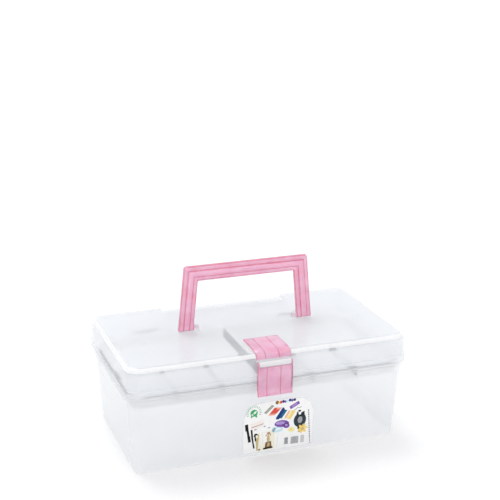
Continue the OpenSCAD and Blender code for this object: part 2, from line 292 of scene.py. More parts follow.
def noise(tree, scale, detail=3.0, coordinates="Object"):
    """A noise texture fixed to the piece."""
    place = tree.nodes.new("ShaderNodeTexCoord")
    texture = tree.nodes.new("ShaderNodeTexNoise")
    texture.inputs["Scale"].default_value = scale
    texture.inputs["Detail"].default_value = detail
    tree.links.new(place.outputs[coordinates], texture.inputs["Vector"])
    return texture


def ramp(tree, source, low, high, stops=(0.35, 0.65)):
    """Maps a texture to a range of values or colours."""
    node = tree.nodes.new("ShaderNodeMapRange")
    node.inputs["From Min"].default_value = stops[0]
    node.inputs["From Max"].default_value = stops[1]
    node.inputs["To Min"].default_value = low
    node.inputs["To Max"].default_value = high
    tree.links.new(source, node.inputs["Value"])
    return node.outputs["Result"]


def tint(tree, source, low, high, stops=(0.35, 0.65)):
    node = tree.nodes.new("ShaderNodeValToRGB")
    node.color_ramp.elements[0].position = stops[0]
    node.color_ramp.elements[0].color = (*low, 1)
    node.color_ramp.elements[1].position = stops[1]
    node.color_ramp.elements[1].color = (*high, 1)
    tree.links.new(source, node.inputs["Fac"])
    return node.outputs["Color"]


def bump(tree, source, strength, distance):
    node = tree.nodes.new("ShaderNodeBump")
    node.inputs["Strength"].default_value = strength
    node.inputs["Distance"].default_value = distance
    tree.links.new(source, node.inputs["Height"])
    return node.outputs["Normal"]


def arithmetic(tree, operation, *terms):
    """A Math node fed with plain numbers and sockets, in order."""
    node = tree.nodes.new("ShaderNodeMath")
    node.operation = operation
    for slot, term in zip(node.inputs, terms):
        if isinstance(term, float):
            slot.default_value = term
        else:
            tree.links.new(term, slot)
    return node.outputs["Value"]


# How much of the haze a ray from a lamp meets, where a ray from the eye meets all of it
LAMP_HAZE = 0.7
CLOUD_STOPS = (0.2, 0.8)


def hazy_plastic(name, haze, cool, warm, gloss=0.1, shadow=0.25):
    """Natural polypropylene: milky haze with flow clouds, faint sink waves and a glossy skin.

    Most of the light that falls on it goes on inside: it shades less than it hides."""
    material, tree, output = new_material(name)
    body = tree.nodes.new("ShaderNodeBsdfPrincipled")
    body.inputs["IOR"].default_value = 1.49
    body.inputs["Coat Weight"].default_value = 0.8
    body.inputs["Coat Roughness"].default_value = 0.05
    clouds = noise(tree, 14.0, 4.0)
    grain = noise(tree, 420.0, 2.0)
    waves = noise(tree, 30.0, 2.0)
    milk = tree.nodes.new("ShaderNodeBsdfTranslucent")
    clear = tree.nodes.new("ShaderNodeBsdfTransparent")
    thick = tree.nodes.new("ShaderNodeMixShader")
    thick.inputs["Fac"].default_value = 0.35
    see_through = tree.nodes.new("ShaderNodeMixShader")
    rays = tree.nodes.new("ShaderNodeLightPath")
    eye, lamp = rays.outputs["Is Camera Ray"], rays.outputs["Is Shadow Ray"]
    met = arithmetic(tree, "MULTIPLY_ADD", lamp, LAMP_HAZE, eye)
    share = arithmetic(tree, "MULTIPLY_ADD", met, 1.0 - shadow, shadow)
    cloudy = ramp(tree, clouds.outputs["Fac"], haze - 0.015, haze + 0.015, CLOUD_STOPS)
    cover = arithmetic(tree, "MULTIPLY", cloudy, share)
    colour = tint(tree, clouds.outputs["Fac"], cool, warm, CLOUD_STOPS)
    tree.links.new(colour, body.inputs["Base Color"])
    tree.links.new(colour, milk.inputs["Color"])
    skin = ramp(tree, grain.outputs["Fac"], gloss, gloss + 0.08, CLOUD_STOPS)
    tree.links.new(skin, body.inputs["Roughness"])
    tree.links.new(bump(tree, waves.outputs["Fac"], 0.1, 0.00008), body.inputs["Normal"])
    tree.links.new(body.outputs["BSDF"], thick.inputs[1])
    tree.links.new(milk.outputs["BSDF"], thick.inputs[2])
    tree.links.new(cover, see_through.inputs["Fac"])
    tree.links.new(clear.outputs["BSDF"], see_through.inputs[1])
    tree.links.new(thick.outputs["Shader"], see_through.inputs[2])
    tree.links.new(see_through.outputs["Shader"], output.inputs["Surface"])
    return material


tub_plastic = hazy_plastic("tub_plastic", 0.38, (0.91, 0.93, 0.96), (0.945, 0.955, 0.98))
tub.data.materials.append(tub_plastic)
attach(tub, "tub")
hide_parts("tub")


# ---------------------------------------------------------------------------
# Lid: a shell of the same plastic with a thicker band at its mouth, rounded
# shoulders and a finger recess behind the folded handle. Lugs for the handle,
# a barrel for the latch and two knuckles are moulded on it.
# ---------------------------------------------------------------------------

lid_wall = 1.6 * MM
lid_mouth = hinge_z + seam_gap / 2
band_top = lid_mouth + 6.5 * MM
band_out = 1.3 * MM
lid_lean = 0.7 * MM
shoulder_r = 8.0 * MM
roof_z = pivot_z - 3.6 * MM
recess_half = 68.0 * MM
recess_slope = 3.5 * MM
recess_run = 24.0 * MM
recess_drop = 5.0 * MM


def smooth_step(value):
    t = min(max(value, 0.0), 1.0)
    return t * t * (3 - 2 * t)


def soft_min(a, b, width):
    """The lower of two heights, with a round blend where they cross."""
    h = min(max(0.5 + 0.5 * (b - a) / width, 0.0), 1.0)
    return a * h + b * (1 - h) - width * h * (1 - h)


def sink_recess(point, grow):
    """Lowers a roof point into the finger recess; grow is the wall on the underside."""
    if point.y < half_d - recess_run - 4 * MM:
        return point
    floor = roof_z - recess_drop - grow
    beside = smooth_step((abs(point.x) - recess_half - grow) / recess_slope)
    ahead = smooth_step((half_d - recess_run - grow + 0.8 * MM - point.y) / (1.6 * MM))
    lowered = floor + (recess_drop + 0.6 * MM) * max(beside, ahead)
    return Vector((point.x, point.y, soft_min(point.z, lowered, 0.5 * MM)))


# Rings across the roof: close together at the front edge of the recess
ROOF_RINGS = [12, 14, 16, 18, 20, 21.5, 22.6, 23.2, 23.6, 24, 24.4, 24.8, 25.4, 26.2, 27.5, 30, 34]


def lid_corner(inset):
    return max(rim_corner - inset, 0.6 * MM)


outer_path = rounded_path([
    (band_out + lid_wall, lid_mouth, 0, 0),
    (0, lid_mouth, 0, 0.4 * MM),
    (0, band_top, 0, 0.5 * MM),
    (band_out, band_top, 0, 0.4 * MM),
    (band_out + lid_lean, roof_z, 0, shoulder_r),
    (11.5 * MM, roof_z, 0, 0),
], steps=10)
inner_path = rounded_path([
    (band_out + lid_wall, lid_mouth, 0, 0),
    (band_out + lid_lean + lid_wall, roof_z - lid_wall, 0, shoulder_r - lid_wall),
    (11.5 * MM, roof_z - lid_wall, 0, 0),
], steps=10)
outer_loops = [rim_loop(u, z, lid_corner(u)) for u, z, _ in outer_path[1:]]
outer_loops += [rim_loop(u * MM, roof_z, lid_corner(u * MM)) for u in ROOF_RINGS]
inner_loops = [rim_loop(u, z, lid_corner(u)) for u, z, _ in inner_path]
inner_loops += [rim_loop(u * MM, roof_z - lid_wall, lid_corner(u * MM)) for u in ROOF_RINGS]
outer_loops = [[sink_recess(p, 0) for p in loop] for loop in outer_loops]
inner_loops = [[sink_recess(p, lid_wall) for p in loop] for loop in inner_loops]
lid = loft("lid_shell", list(reversed(inner_loops)) + outer_loops)

for hx in (-hinge_x, hinge_x):
    arm = knuckle("lid_knuckle", hx, lid_knuckle_l, hinge_z + knuckle_r, lid_mouth + 0.15 * MM,
                  half_d - band_out - lid_wall / 2)
    combine(lid, arm, "UNION")
    bore(lid, hinge_pin_r + 0.05 * MM, hx - 10 * MM, hx + 10 * MM, hinge_y, hinge_z)

# Lugs that carry the handle's pegs
lug_t = 4.6 * MM
lug_r = 3.5 * MM
lug_x = 56.2 * MM - lug_t / 2
peg_r = 1.8 * MM
for side in (-1, 1):
    base_z = roof_z - lid_wall / 2
    outline = [(lug_r + 0.6 * MM, base_z), (lug_r, roof_z + 0.6 * MM)]
    outline += circle_yz(0, pivot_z, lug_r, 24, 0, 180)
    outline += [(-lug_r, roof_z + 0.6 * MM), (-lug_r - 0.6 * MM, base_z)]
    lug = prism_x("handle_lug", outline, side * lug_x - lug_t / 2, side * lug_x + lug_t / 2)
    soften(lug, 0.35 * MM)
    combine(lid, lug, "UNION")
    bore(lid, peg_r + 0.05 * MM, side * lug_x - 4 * MM, side * lug_x + 4 * MM, 0, pivot_z)


def disc_z(name, r, x, y, z0, z1, steps=40, top_r=None):
    """An upright disc, with a smaller top where one is given."""
    loops = []
    for z, radius in ((z0, r), (z1, r if top_r is None else top_r)):
        angles = [2 * math.pi * k / steps for k in range(steps)]
        loops.append([Vector((x + radius * math.cos(a), y + radius * math.sin(a), z)) for a in angles])
    return loft(name, loops)


stud_r = 1.5 * MM
stud_x = 10.0 * MM
stud_y = -50.0 * MM
for side in (-1, 1):
    hole = disc_z("stud_hole", stud_r + 0.1 * MM, side * stud_x, stud_y, roof_z - 5 * MM, roof_z + 5 * MM)
    combine(lid, hole, "DIFFERENCE")

# The moulding gate's small round witness on the roof
gate = disc_z("gate_witness", 2.0 * MM, 121 * MM, -14.5 * MM, roof_z - 0.5 * MM, roof_z + 0.35 * MM,
              top_r=1.6 * MM)
combine(lid, gate, "UNION")

# Two short faint ribs near the left end
ROOF_RIBS = (-120 * MM, -109 * MM)
for rib_x in ROOF_RIBS:
    foot, top = roof_z - 0.4 * MM, roof_z + 0.3 * MM
    loops = [[Vector((rib_x - 1.0 * MM, y, foot)), Vector((rib_x - 0.5 * MM, y, top)),
              Vector((rib_x + 0.5 * MM, y, top)), Vector((rib_x + 1.0 * MM, y, foot))]
             for y in (-45 * MM, -13 * MM)]
    combine(lid, loft("roof_rib", loops), "UNION")
shade(lid)

# The lid's plastic is the tub's, a little darker: painted shade that evens out the stronger light on the roof
lid_plastic = hazy_plastic("lid_plastic", 0.40, (0.86, 0.89, 0.93), (0.90, 0.92, 0.955))
lid.data.materials.clear()
lid.data.materials.append(lid_plastic)

# The middle of the rounded shoulder gets a whiter, more opaque plastic: a painted highlight line along the
# lid's edges
painted_highlight_plastic = hazy_plastic("painted_highlight_plastic", 0.9, (0.96, 0.965, 0.975), (0.98, 0.98, 0.985))
lid.data.materials.append(painted_highlight_plastic)
band_w, highlight_tilt_low, highlight_tilt_high = 13 * MM, 0.5, 0.88
for face in lid.data.polygons:
    near_edge = max(abs(face.center.x) - half_l, abs(face.center.y) - half_d) > -band_w
    on_curve = highlight_tilt_low < face.normal.z < highlight_tilt_high and face.center.z > roof_z - shoulder_r
    if near_edge and on_curve:
        face.material_index = 1
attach(lid, "lid")
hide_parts("lid")


# ---------------------------------------------------------------------------
# Latch barrel: a thick bead moulded on the lid wall, in the whiter plastic of the
# shoulder line, a painted highlight. A web joins it to the lid, and the latch pin runs through it.
# ---------------------------------------------------------------------------

barrel_r = 2.65 * MM
barrel_half = latch_pin_high.x - 1.8 * MM
latch_y = (latch_pin_low.y + latch_pin_high.y) / 2
latch_z = (latch_pin_low.z + latch_pin_high.z) / 2
latch_pin_r = (latch_pin_high.z - latch_pin_low.z) / 2
lid_face = -(half_d - band_out - lid_lean)
barrel = rod_x("latch_barrel", barrel_r, -barrel_half, barrel_half, latch_y, latch_z)
web = prism_x("latch_web", [(latch_y, latch_z - barrel_r / 2), (lid_face + 0.2 * MM, latch_z - barrel_r / 2),
                            (lid_face + 0.2 * MM, latch_z + barrel_r / 2), (latch_y, latch_z + barrel_r / 2)],
              -barrel_half, barrel_half)
combine(barrel, web, "UNION")
soften(barrel, 0.35 * MM)
bore(barrel, latch_pin_r + 0.05 * MM, -barrel_half - 1 * MM, barrel_half + 1 * MM, latch_y, latch_z)
shade(barrel)
# The whiter plastic on the barrel is a painted highlight
barrel.data.materials.clear()
barrel.data.materials.append(painted_highlight_plastic)
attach(barrel, "lid")


# ---------------------------------------------------------------------------
# Hinge pins and latch pin: cut lengths of drawn steel wire, pushed through the
# knuckles at the back and through the barrel under the latch.
# ---------------------------------------------------------------------------


def drawn_wire(name):
    """Bright drawn wire: fine marks round the wire and a satin skin."""
    material, tree, output = new_material(name)
    body = tree.nodes.new("ShaderNodeBsdfPrincipled")
    body.inputs["Metallic"].default_value = 1.0
    marks = noise(tree, 900.0, 2.0)
    tree.links.new(tint(tree, marks.outputs["Fac"], (0.52, 0.53, 0.55), (0.70, 0.71, 0.73)),
                   body.inputs["Base Color"])
    tree.links.new(ramp(tree, marks.outputs["Fac"], 0.22, 0.42), body.inputs["Roughness"])
    tree.links.new(bump(tree, marks.outputs["Fac"], 0.2, 0.00005), body.inputs["Normal"])
    tree.links.new(body.outputs["BSDF"], output.inputs["Surface"])
    return material


wire = drawn_wire("drawn_wire")


def wire_pin(node, body):
    """A wire with rounded ends in the place of its CAD node."""
    low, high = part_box(node)
    r = (high.z - low.z) / 2
    y = (high.y + low.y) / 2
    z = (high.z + low.z) / 2
    pin = rod_x(node + "_wire", r, low.x, high.x, y, z)
    soften(pin, r * 0.3, 3)
    shade(pin)
    pin.data.materials.append(wire)
    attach(pin, body)
    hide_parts(node)


wire_pin("hinge_pin_left", "tub")
wire_pin("hinge_pin_right", "tub")
wire_pin("latch_pin", "lid")


# ---------------------------------------------------------------------------
# Handle: one piece of translucent pink plastic, a flat bar with a raised band
# along the middle of both faces. Its feet are round, and two pegs on them clip
# into the lid's lugs.
# ---------------------------------------------------------------------------

bar_w = 16.0 * MM
bar_t = 4.2 * MM
handle_t = 6.4 * MM
band_w = 6.4 * MM
grip_top = handle_high.z
foot_out = handle_high.x
grip_half = 66.5 * MM
leg_lean = (foot_out - grip_half) / (grip_top - pivot_z)
LEG_STEPS = 14
TURN_STEPS = 8


def bar_section():
    """The bar's section as (distance from the outer edge, half-thickness side) points, all round."""
    edge = bar_t / 2
    rise = handle_t / 2
    b0 = (bar_w - band_w) / 2
    b1 = (bar_w + band_w) / 2
    soft = 0.7 * MM
    face = [(0, edge - 1.1 * MM), (0.3 * MM, edge - 0.4 * MM), (1.0 * MM, edge)]
    face += [(b0 - soft, edge), (b0 - 0.2 * MM, edge + 0.15 * MM), (b0 + 0.15 * MM, rise - 0.2 * MM)]
    face += [(b0 + soft, rise), (b1 - soft, rise), (b1 - 0.15 * MM, rise - 0.2 * MM)]
    face += [(b1 + 0.2 * MM, edge + 0.15 * MM), (b1 + soft, edge), (bar_w - 1.0 * MM, edge)]
    face += [(bar_w - 0.3 * MM, edge - 0.4 * MM), (bar_w, edge - 1.1 * MM)]
    return face + [(u, -v) for u, v in reversed(face)]


def handle_rail(u, v):
    """One line along the handle, from foot to foot, at depth u from its outer edge."""
    out_x = foot_out - u
    top = grip_top - u
    corner = max(3.0 * MM - u, 0.0) if u < 3 * MM else 0.0
    if u > bar_w - 3 * MM:
        corner = max(1.2 * MM - (bar_w - u) * 0.3, 0.2 * MM)
    corner = max(corner, 0.15 * MM)
    bend = top - corner
    bend_x = out_x - leg_lean * (bend - pivot_z)
    right = []
    for k in range(7):
        angle = math.radians(90 * (1 - k / 6.5))
        right.append((out_x, -handle_t / 2 * math.sin(angle), math.cos(angle), 1.0))
    for k in range(1, LEG_STEPS + 1):
        climb = (bend - pivot_z) * k / LEG_STEPS
        blend = smooth_step((climb - 2.5 * MM) / (3 * MM))
        right.append((out_x - leg_lean * climb, climb, 1.0, 1 - blend))
    points = []
    for x, climb, round_off, thick in right:
        wide = math.copysign(handle_t / 2 * (abs(v) / (handle_t / 2)) ** 0.35, v)
        half = v + (wide - v) * thick
        points.append(Vector((x, half * round_off, pivot_z + climb)))
    for k in range(1, TURN_STEPS + 1):
        angle = math.radians(90 * k / TURN_STEPS)
        x = bend_x - corner + corner * math.cos(angle)
        points.append(Vector((x, v, bend + corner * math.sin(angle))))
    start = bend_x - corner
    across = [Vector((start * (1 - k / 12), v, top)) for k in range(1, 13)]
    half_line = points + across
    mirrored = [Vector((-p.x, p.y, p.z)) for p in reversed(half_line[:-1])]
    return half_line + mirrored


rails = [handle_rail(u, v) for u, v in bar_section()]
handle = loft("handle_bar", [[rail[i] for rail in rails] for i in range(len(rails[0]))])
for side in (-1, 1):
    peg = rod_x("peg", peg_r, min(side * 52, side * 60) * MM, max(side * 52, side * 60) * MM, 0, pivot_z)
    soften(peg, 0.4 * MM)
    combine(handle, peg, "UNION")
shade(handle, 30)


def pink_plastic(name, deep, pale, alpha):
    """Pink tinted plastic: clear enough to glow at its edges, with flow clouds and a polished skin."""
    material, tree, output = new_material(name)
    body = tree.nodes.new("ShaderNodeBsdfPrincipled")
    body.inputs["IOR"].default_value = 1.5
    body.inputs["Transmission Weight"].default_value = 0.35
    body.inputs["Coat Weight"].default_value = 0.6
    body.inputs["Coat Roughness"].default_value = 0.05
    body.inputs["Subsurface Weight"].default_value = 0.3
    body.inputs["Subsurface Scale"].default_value = 0.004
    clouds = noise(tree, 60.0, 3.0)
    waves = noise(tree, 130.0, 1.0)
    tree.links.new(tint(tree, clouds.outputs["Fac"], deep, pale), body.inputs["Base Color"])
    tree.links.new(ramp(tree, waves.outputs["Fac"], 0.12, 0.2), body.inputs["Roughness"])
    tree.links.new(ramp(tree, clouds.outputs["Fac"], alpha - 0.03, alpha + 0.03), body.inputs["Alpha"])
    tree.links.new(bump(tree, waves.outputs["Fac"], 0.15, 0.0002), body.inputs["Normal"])
    tree.links.new(body.outputs["BSDF"], output.inputs["Surface"])
    return material


def paint_edge_shade(piece, is_edge):
    """Gives the faces at edges, steps and grooves a darker pink: painted shade for the deep look of tinted
    plastic seen edge-on and in its grooves.
    """
    piece.data.materials.clear()
    piece.data.materials.append(pink)
    piece.data.materials.append(painted_shade_pink)
    for face in piece.data.polygons:
        face.material_index = 1 if is_edge(face.center) else 0


def handle_edge(place):
    """True near the bar's outer and inner edges and at the foot of its raised band."""
    from_top = grip_top - place.z
    from_side = foot_out - leg_lean * (place.z - pivot_z) - abs(place.x)
    depth = min(from_top, from_side)
    steps = [0.0, bar_w, (bar_w - band_w) / 2, (bar_w + band_w) / 2]
    return any(abs(depth - step) < 0.75 * MM for step in steps)


pink = pink_plastic("pink_plastic", (0.99, 0.47, 0.67), (1.0, 0.59, 0.78), 0.86)
# A darker pink for the faces at edges, steps and grooves: painted shade
painted_shade_pink = pink_plastic("painted_shade_pink_plastic", (0.78, 0.22, 0.34), (0.88, 0.33, 0.47), 0.95)
# The handle's edges and band steps get the darker pink: painted shade
paint_edge_shade(handle, handle_edge)
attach(handle, "handle")
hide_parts("handle")


# ---------------------------------------------------------------------------
# Latch plate: a pink moulded strip that lies on the roof and bends over the
# front shoulder. Two shallow grooves run down it, and two studs under it are
# staked through the roof.
# ---------------------------------------------------------------------------

latch_half = latch_pin_high.x
latch_t = 1.7 * MM
plate_back = -(half_d - 40.0 * MM)
plate_lift = 0.1 * MM
plate_low = latch_z + barrel_r + 1.6 * MM
shoulder_y = lid_face + shoulder_r
shoulder_z = roof_z - shoulder_r
groove_places = [-9.0 * MM, 5.5 * MM]
groove_w = 1.1 * MM
groove_deep = 0.5 * MM


def groove_columns(edge_soft=0.45 * MM):
    """Places across the latch with the depth of its face there: grooves and rounded side edges."""
    columns = [(-latch_half, 0.5 * MM), (-latch_half + 0.15 * MM, 0.15 * MM), (-latch_half + edge_soft, 0.0)]
    for g in groove_places:
        columns += [(g - groove_w * 0.8, 0.0), (g - groove_w * 0.4, groove_deep * 0.8), (g, groove_deep),
                    (g + groove_w * 0.4, groove_deep * 0.8), (g + groove_w * 0.8, 0.0)]
    columns += [(latch_half - edge_soft, 0.0), (latch_half - 0.15 * MM, 0.15 * MM), (latch_half, 0.5 * MM)]
    return columns


def grooved_strip(name, route, thickness):
    """A strip that follows (y, z, outward y, outward z) stations, with grooves in its outer face."""
    loops = []
    for y, z, ny, nz, shrink in route:
        outer = [Vector((x, y + ny * (thickness - d - shrink), z + nz * (thickness - d - shrink)))
                 for x, d in groove_columns()]
        inner = [Vector((x, y + ny * min(d, 0.3 * MM), z + nz * min(d, 0.3 * MM)))
                 for x, d in reversed([c for c in groove_columns() if abs(c[0]) > latch_half - 0.5 * MM])]
        loops.append(outer + inner)
    return loft(name, loops)


plate_z = roof_z + plate_lift
plate_route = [(plate_back, plate_z, 0, 1, 0.5 * MM), (plate_back - 0.15 * MM, plate_z, 0, 1, 0.15 * MM),
               (plate_back - 0.5 * MM, plate_z, 0, 1, 0)]
plate_route += [(plate_back + (shoulder_y - plate_back) * k / 8, plate_z, 0, 1, 0) for k in range(1, 9)]
bend_r = shoulder_r + plate_lift
low_angle = math.asin((plate_low - shoulder_z) / (bend_r + latch_t / 2))
for k in range(1, 15):
    angle = math.pi / 2 - (math.pi / 2 - low_angle) * k / 14
    plate_route.append((shoulder_y - bend_r * math.cos(angle), shoulder_z + bend_r * math.sin(angle),
                        -math.cos(angle), math.sin(angle), 0 if k < 14 else 0.3 * MM))
plate = grooved_strip("latch_plate_strip", plate_route, latch_t)
for side in (-1, 1):
    stud = disc_z("stud", stud_r, side * stud_x, stud_y, roof_z - lid_wall - 1.0 * MM, roof_z + 1.0 * MM)
    head = disc_z("stud_head", stud_r + 0.9 * MM, side * stud_x, stud_y, roof_z - lid_wall - 1.0 * MM,
                  roof_z - lid_wall - 0.1 * MM)
    combine(plate, stud, "UNION")
    combine(plate, head, "UNION")
shade(plate)


def latch_edge(place):
    """True near the latch's side edges and in its grooves."""
    in_groove = any(abs(place.x - g) < groove_w * 0.55 for g in groove_places)
    return abs(place.x) > latch_half - 0.45 * MM or in_groove


# The latch plate's side edges and grooves get the darker pink: painted shade
paint_edge_shade(plate, latch_edge)
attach(plate, "lid")
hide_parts("latch_plate")


# ---------------------------------------------------------------------------
# Latch flap: the swinging half, a pink channel whose two cheeks turn on the
# latch pin. Its barb snaps under the tub's rim, and its lower edge flares out
# as a pull.
# ---------------------------------------------------------------------------

cheek_t = 1.6 * MM
flap_face = latch_y - barrel_r
flap_inner = flap_face + latch_t
flap_top = latch_z - barrel_r - 0.4 * MM
flap_low = rim_low - 10.0 * MM
flare_h = 4.0 * MM
flare_out = 1.4 * MM
cheek_back = -(half_d + 0.4 * MM)
barb_tip = -(half_d - 2.6 * MM)
barb_top = rim_low - 0.5 * MM

flap_route = [(flap_inner, flap_top, -1, 0, 0.5 * MM), (flap_inner, flap_top - 0.15 * MM, -1, 0, 0.15 * MM)]
straight = flap_top - 0.5 * MM - flap_low - flare_h
flap_route += [(flap_inner, flap_top - 0.5 * MM - straight * k / 8, -1, 0, 0) for k in range(9)]
for k in range(1, 7):
    drop = flare_h * k / 6
    out = flare_out * (k / 6) ** 1.6
    flap_route.append((flap_inner - out, flap_low + flare_h - drop, -1, 0, 0 if k < 6 else 0.4 * MM))
flap = grooved_strip("latch_flap_channel", flap_route, latch_t)
for side in (-1, 1):
    outline = circle_yz(latch_y, latch_z, barrel_r - 0.3 * MM, 24, 0, 180)
    outline += [(flap_face, latch_z - 0.4 * MM), (flap_face, flap_low + flare_h),
                (flap_inner, flap_low + flare_h), (cheek_back, rim_low - 0.6 * MM),
                (cheek_back, latch_z - 1.5 * MM)]
    x_out = side * latch_half
    x_in = side * (latch_half - cheek_t)
    cheek = prism_x("cheek", outline, min(x_out, x_in), max(x_out, x_in))
    soften(cheek, 0.35 * MM)
    combine(flap, cheek, "UNION")
barb_root = flap_inner - 0.4 * MM
barb_outline = [(barb_root, barb_top), (barb_tip, barb_top), (barb_tip, barb_top - 0.9 * MM),
                (barb_root, barb_top - 2.6 * MM)]
barb_half = latch_half - 0.8 * MM
barb = prism_x("barb", barb_outline, -barb_half, barb_half)
combine(flap, barb, "UNION")
bore(flap, latch_pin_r + 0.05 * MM, -latch_half - 1 * MM, latch_half + 1 * MM, latch_y, latch_z)
shade(flap)
# The flap's side edges and grooves get the darker pink: painted shade
paint_edge_shade(flap, latch_edge)
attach(flap, "latch_flap")
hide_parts("latch_flap")


# ---------------------------------------------------------------------------
# Trays: two clear open boxes, half the tub's length each. Ribs on three sides
# rest on the tub's ledge, and thin walls part each into four cells.
# ---------------------------------------------------------------------------

tray_wall = 1.3 * MM
tray_x0 = 0.2 * MM
tray_rib = 3.6 * MM
tray_x1 = tray_high.x - tray_rib
tray_half_d = tray_high.y - tray_rib
tray_z = tray_low.z
tray_top = tray_high.z
tray_corner = 12.0 * MM
tray_l = tray_x1 - tray_x0
rib_z = ledge_z + 0.1 * MM
rib_t = 1.2 * MM
divider_top = tray_top - 3.0 * MM
row_y = -tray_half_d + 72.0 * MM


def tray_loop(inset, z, side):
    """The tray's outline, inset everywhere: two round corners at its outer end, two small at the middle."""
    near = tray_x0 + inset
    far = tray_x1 - inset
    y = tray_half_d - inset
    small = max(2.0 * MM - inset, 0.4 * MM)
    big = max(tray_corner - inset, 0.8 * MM)
    points = []
    for turn, (cx, cy, r) in enumerate([(far - big, y - big, big), (near + small, y - small, small),
                                        (near + small, small - y, small), (far - big, big - y, big)]):
        for k in range(11):
            angle = math.radians(90 * (turn + k / 10))
            points.append(Vector((side * (cx + r * math.cos(angle)), cy + r * math.sin(angle), z)))
    return points


def slab(name, side, x0, x1, y0, y1, z0, z1):
    """A flat moulded wall or rib with softened edges, on one side of the box's middle."""
    mesh = bmesh.new()
    bmesh.ops.create_cube(mesh, size=1.0)
    bmesh.ops.scale(mesh, vec=Vector((x1 - x0, y1 - y0, z1 - z0)), verts=mesh.verts)
    middle = Vector((side * (x0 + x1) / 2, (y0 + y1) / 2, (z0 + z1) / 2))
    bmesh.ops.translate(mesh, vec=middle, verts=mesh.verts)
    wall = finish_mesh(name, mesh)
    soften(wall, 0.3 * MM)
    return wall


tray_plastic = hazy_plastic("tray_plastic", 0.02, (0.95, 0.96, 0.975), (0.98, 0.98, 0.985), shadow=0.0)
tray_path = rounded_path([
    (14.0 * MM, tray_z, 0, 0),
    (0, tray_z, 0, 1.0 * MM),
    (0, tray_top, 0, 0.4 * MM),
    (tray_wall, tray_top, 0, 0.4 * MM),
    (tray_wall, tray_z + tray_wall, 0, 1.2 * MM),
    (14.0 * MM, tray_z + tray_wall, 0, 0),
], steps=4)
for side, tray_name in ((-1, "tray_left"), (1, "tray_right")):
    tray = loft(tray_name + "_shell", [tray_loop(u, z, side) for u, z, _ in tray_path])
    run_y = tray_half_d - tray_corner
    combine(tray, slab("end_rib", side, tray_x1 - tray_wall / 2, tray_x1 + tray_rib, -run_y, run_y,
                       rib_z, rib_z + rib_t), "UNION")
    for face in (-1, 1):
        inner, outer = face * (tray_half_d - tray_wall / 2), face * (tray_half_d + tray_rib)
        combine(tray, slab("side_rib", side, tray_x0 + 2 * MM, tray_x1 - tray_corner, min(inner, outer),
                           max(inner, outer), rib_z, rib_z + rib_t), "UNION")
    foot = tray_z + tray_wall / 2
    combine(tray, slab("long_divider", side, tray_x0 + tray_wall / 2, tray_x1 - tray_wall / 2, row_y,
                       row_y + tray_wall, foot, divider_top), "UNION")
    for cell in (1, 2):
        x = tray_x0 + tray_l * cell / 3
        combine(tray, slab("cross_divider", side, x - tray_wall / 2, x + tray_wall / 2,
                           tray_wall / 2 - tray_half_d, row_y + tray_wall / 2, foot, divider_top), "UNION")
    shade(tray)
    tray.data.materials.clear()
    tray.data.materials.append(tray_plastic)
    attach(tray, tray_name)
    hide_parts(tray_name)


# ---------------------------------------------------------------------------
# Label: a white film stuck on the front wall below the latch, square at its
# foot and round at its top, printed with bright hobby shapes in opaque inks.
# ---------------------------------------------------------------------------

label_low, label_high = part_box("front_label")
label_w = label_high.x - label_low.x
label_x = (label_high.x + label_low.x) / 2
lean = math.atan(tub_lean / (ledge_z - foot_h))
label_up = Vector((0, -math.sin(lean), math.cos(lean)))
label_out = Vector((0, -math.cos(lean), -math.sin(lean)))
label_foot = Vector((label_x, -(half_d - rim_out - tub_lean + 0.1 * MM), foot_h)) + label_up * 1.0 * MM
label_h = (label_high.z - foot_h) / math.cos(lean) - 1.0 * MM
label_rise = 3.0 * MM
label_t = 0.2 * MM
ink_t = 0.02 * MM


def on_label(u, v, lift):
    """A point of the label: u right of its left edge, v above its foot, lift off the wall."""
    return label_foot + Vector((u - label_w / 2, 0, 0)) + label_up * v + label_out * lift


def label_outline():
    arch_r = ((label_w / 2) ** 2 + label_rise ** 2) / (2 * label_rise)
    top_r, foot_r = 20.0 * MM, 3.0 * MM
    points = []
    rounds = [(label_w - top_r, label_h - top_r, top_r, 0), (top_r, label_h - top_r, top_r, 90),
              (foot_r, foot_r, foot_r, 180), (label_w - foot_r, foot_r, foot_r, 270)]
    for cx, cy, r, start in rounds:
        points += [(cx + y, cy + z) for y, z in circle_yz(0, 0, r, 18, start, 90)]
        if start == 0:
            points += [(label_w - top_r - (label_w - 2 * top_r) * k / 12, label_h) for k in range(1, 12)]
    arched = []
    for u, v in points:
        off = u - label_w / 2
        arched.append((u, min(v, label_h - arch_r + math.sqrt(arch_r ** 2 - off ** 2))))
    return arched


def film_patch(mesh, outline, low, high, ink):
    """A flat closed patch on the label between two heights off the wall."""
    ends = [[mesh.verts.new(on_label(u, v, lift)) for u, v in outline] for lift in (low, high)]
    faces = [mesh.faces.new(ends[0]), mesh.faces.new(list(reversed(ends[1])))]
    for k in range(len(outline)):
        n = (k + 1) % len(outline)
        faces.append(mesh.faces.new((ends[0][k], ends[1][k], ends[1][n], ends[0][n])))
    for face in faces:
        face.material_index = ink


def film(name, low, high, grain_scale):
    """Printed film: nearly even colour with a faint mottle, satin lacquer and a light orange-peel."""
    material, tree, output = new_material(name)
    body = tree.nodes.new("ShaderNodeBsdfPrincipled")
    body.inputs["Specular IOR Level"].default_value = 0.12
    mottle = noise(tree, grain_scale, 3.0)
    tree.links.new(tint(tree, mottle.outputs["Fac"], low, high), body.inputs["Base Color"])
    tree.links.new(ramp(tree, mottle.outputs["Fac"], 0.3, 0.42), body.inputs["Roughness"])
    tree.links.new(bump(tree, mottle.outputs["Fac"], 0.1, 0.00002), body.inputs["Normal"])
    tree.links.new(body.outputs["BSDF"], output.inputs["Surface"])
    return material


